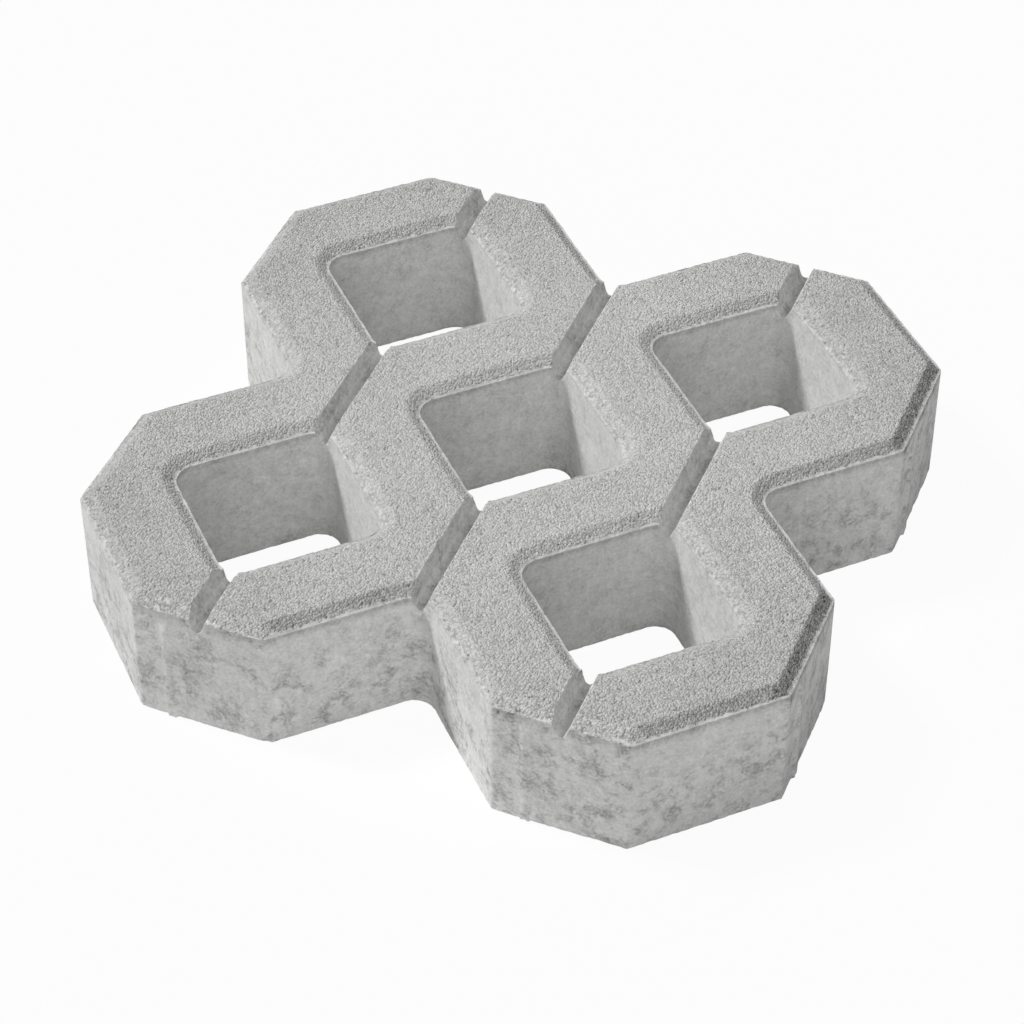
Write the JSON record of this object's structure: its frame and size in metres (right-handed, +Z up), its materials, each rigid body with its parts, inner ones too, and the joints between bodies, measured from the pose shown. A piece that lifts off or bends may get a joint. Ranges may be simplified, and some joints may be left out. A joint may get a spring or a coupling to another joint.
{
  "type": "grass grid paving stone",
  "caption": "Square cast concrete paving stone with a lattice of square openings set on their corners, grooved zigzag strips on top and spacer ribs; laid flat so that grass grows through.",
  "frame": {"origin": "centre of the stone at the level of its underside", "axes": "+Z up out of the grooved top; X and Y along the laying grid, with the grooves along Y"},
  "size_m": [0.4014, 0.4014, 0.08],
  "materials": {
    "concrete": "raw cement-grey concrete, sandy grain, matt"
  },
  "bodies": {
    "root": {"paving_stone": "concrete"}
  },
  "joints": []
}
